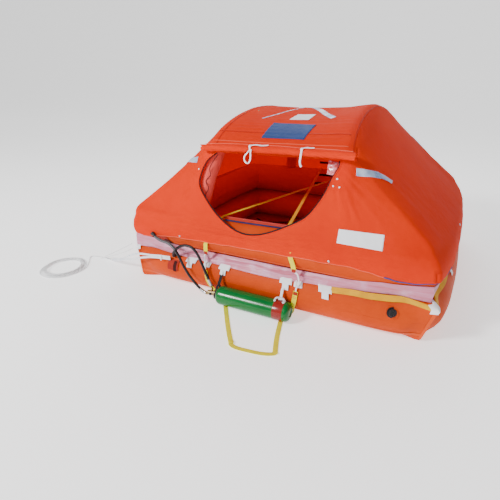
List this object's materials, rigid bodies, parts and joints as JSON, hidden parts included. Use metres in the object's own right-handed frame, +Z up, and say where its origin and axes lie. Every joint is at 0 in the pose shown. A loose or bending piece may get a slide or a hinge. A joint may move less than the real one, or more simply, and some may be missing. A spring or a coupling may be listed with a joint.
{
  "type": "inflatable life raft",
  "caption": "Rectangular inflatable life raft with two stacked air tubes, a canopy on two arch tubes with a round door, a gas cylinder, a webbing ladder and a painter line.",
  "frame": {"origin": "middle of the raft's floor, on its flat underside, where it stands", "axes": "+Z up; -Y towards the side with the door, the gas cylinder and the ladder; +X along the long side, to the right seen from outside the door"},
  "size_m": [3.375, 2.5775, 1.3089],
  "materials": {
    "tube_fabric": "satin coated fabric, orange",
    "canopy_fabric": "coated nylon, bright orange",
    "floor_fabric": "coated fabric, dark red",
    "band_fabric": "thin translucent coated fabric, pale pink",
    "yellow_webbing": "woven webbing, yellow",
    "white_webbing": "woven webbing and patches, white",
    "white_rope": "twisted rope, white",
    "cylinder_steel": "gloss paint, green",
    "red_band": "dark red band",
    "valve_brass": "worn brass",
    "black_rubber": "black rubber"
  },
  "bodies": {
    "raft": {"lower_tube": "tube_fabric", "upper_tube": "tube_fabric", "tube_band": "band_fabric", "raft_floor": "floor_fabric", "arch_tube_left": "tube_fabric", "arch_tube_right": "tube_fabric", "canopy_skirt": "canopy_fabric", "canopy_front": "canopy_fabric", "canopy_back": "canopy_fabric", "canopy_left_end": "canopy_fabric", "canopy_right_end": "canopy_fabric", "canopy_roof": "canopy_fabric", "door_roll": "canopy_fabric", "door_tie_left": "white_webbing", "door_tie_right": "white_webbing", "grab_line": "yellow_webbing", "patch_front_1": "white_webbing", "patch_front_2": "white_webbing", "patch_front_3": "white_webbing", "patch_front_4": "white_webbing", "patch_right_1": "white_webbing", "patch_right_2": "white_webbing", "patch_back_1": "white_webbing", "patch_back_2": "white_webbing", "patch_back_3": "white_webbing", "patch_left_1": "white_webbing", "patch_left_2": "white_webbing", "patch_corner_front_left": "white_webbing", "patch_corner_front_right": "white_webbing", "patch_corner_back_right": "white_webbing", "patch_corner_back_left": "white_webbing", "ladder_tab_left": "yellow_webbing", "ladder_tab_right": "yellow_webbing", "ladder_tie_left": "white_rope", "ladder_tie_right": "white_rope", "ladder_patch_left": "white_webbing", "ladder_patch_right": "white_webbing", "ladder_strap_left": "yellow_webbing", "ladder_strap_right": "yellow_webbing", "ladder_rung": "yellow_webbing", "inflation_hose_upper": "black_rubber", "inflation_hose_lower": "black_rubber", "hose_inlet_upper": "black_rubber", "hose_inlet_lower": "black_rubber", "topping_valve": "black_rubber", "cross_strap_long": "yellow_webbing", "cross_strap_short": "yellow_webbing", "painter_bridle": "white_webbing", "painter_rope": "white_rope", "painter_leg_upper": "white_rope", "painter_leg_lower": "white_rope", "painter_coil": "white_rope"},
    "gas_cylinder": {"gas_cylinder": "cylinder_steel", "cylinder_band": "red_band", "valve_head": "valve_brass", "hanger_loop_left": "black_rubber", "hanger_loop_right": "white_webbing"}
  },
  "joints": [
    {"name": "cylinder_swing", "type": "hinge", "parent": "raft", "child": "gas_cylinder", "pos_m": [-0.03, -1.058, 0.232], "axis": [-1, 0, 0], "range_deg": [0, 50]}
  ]
}
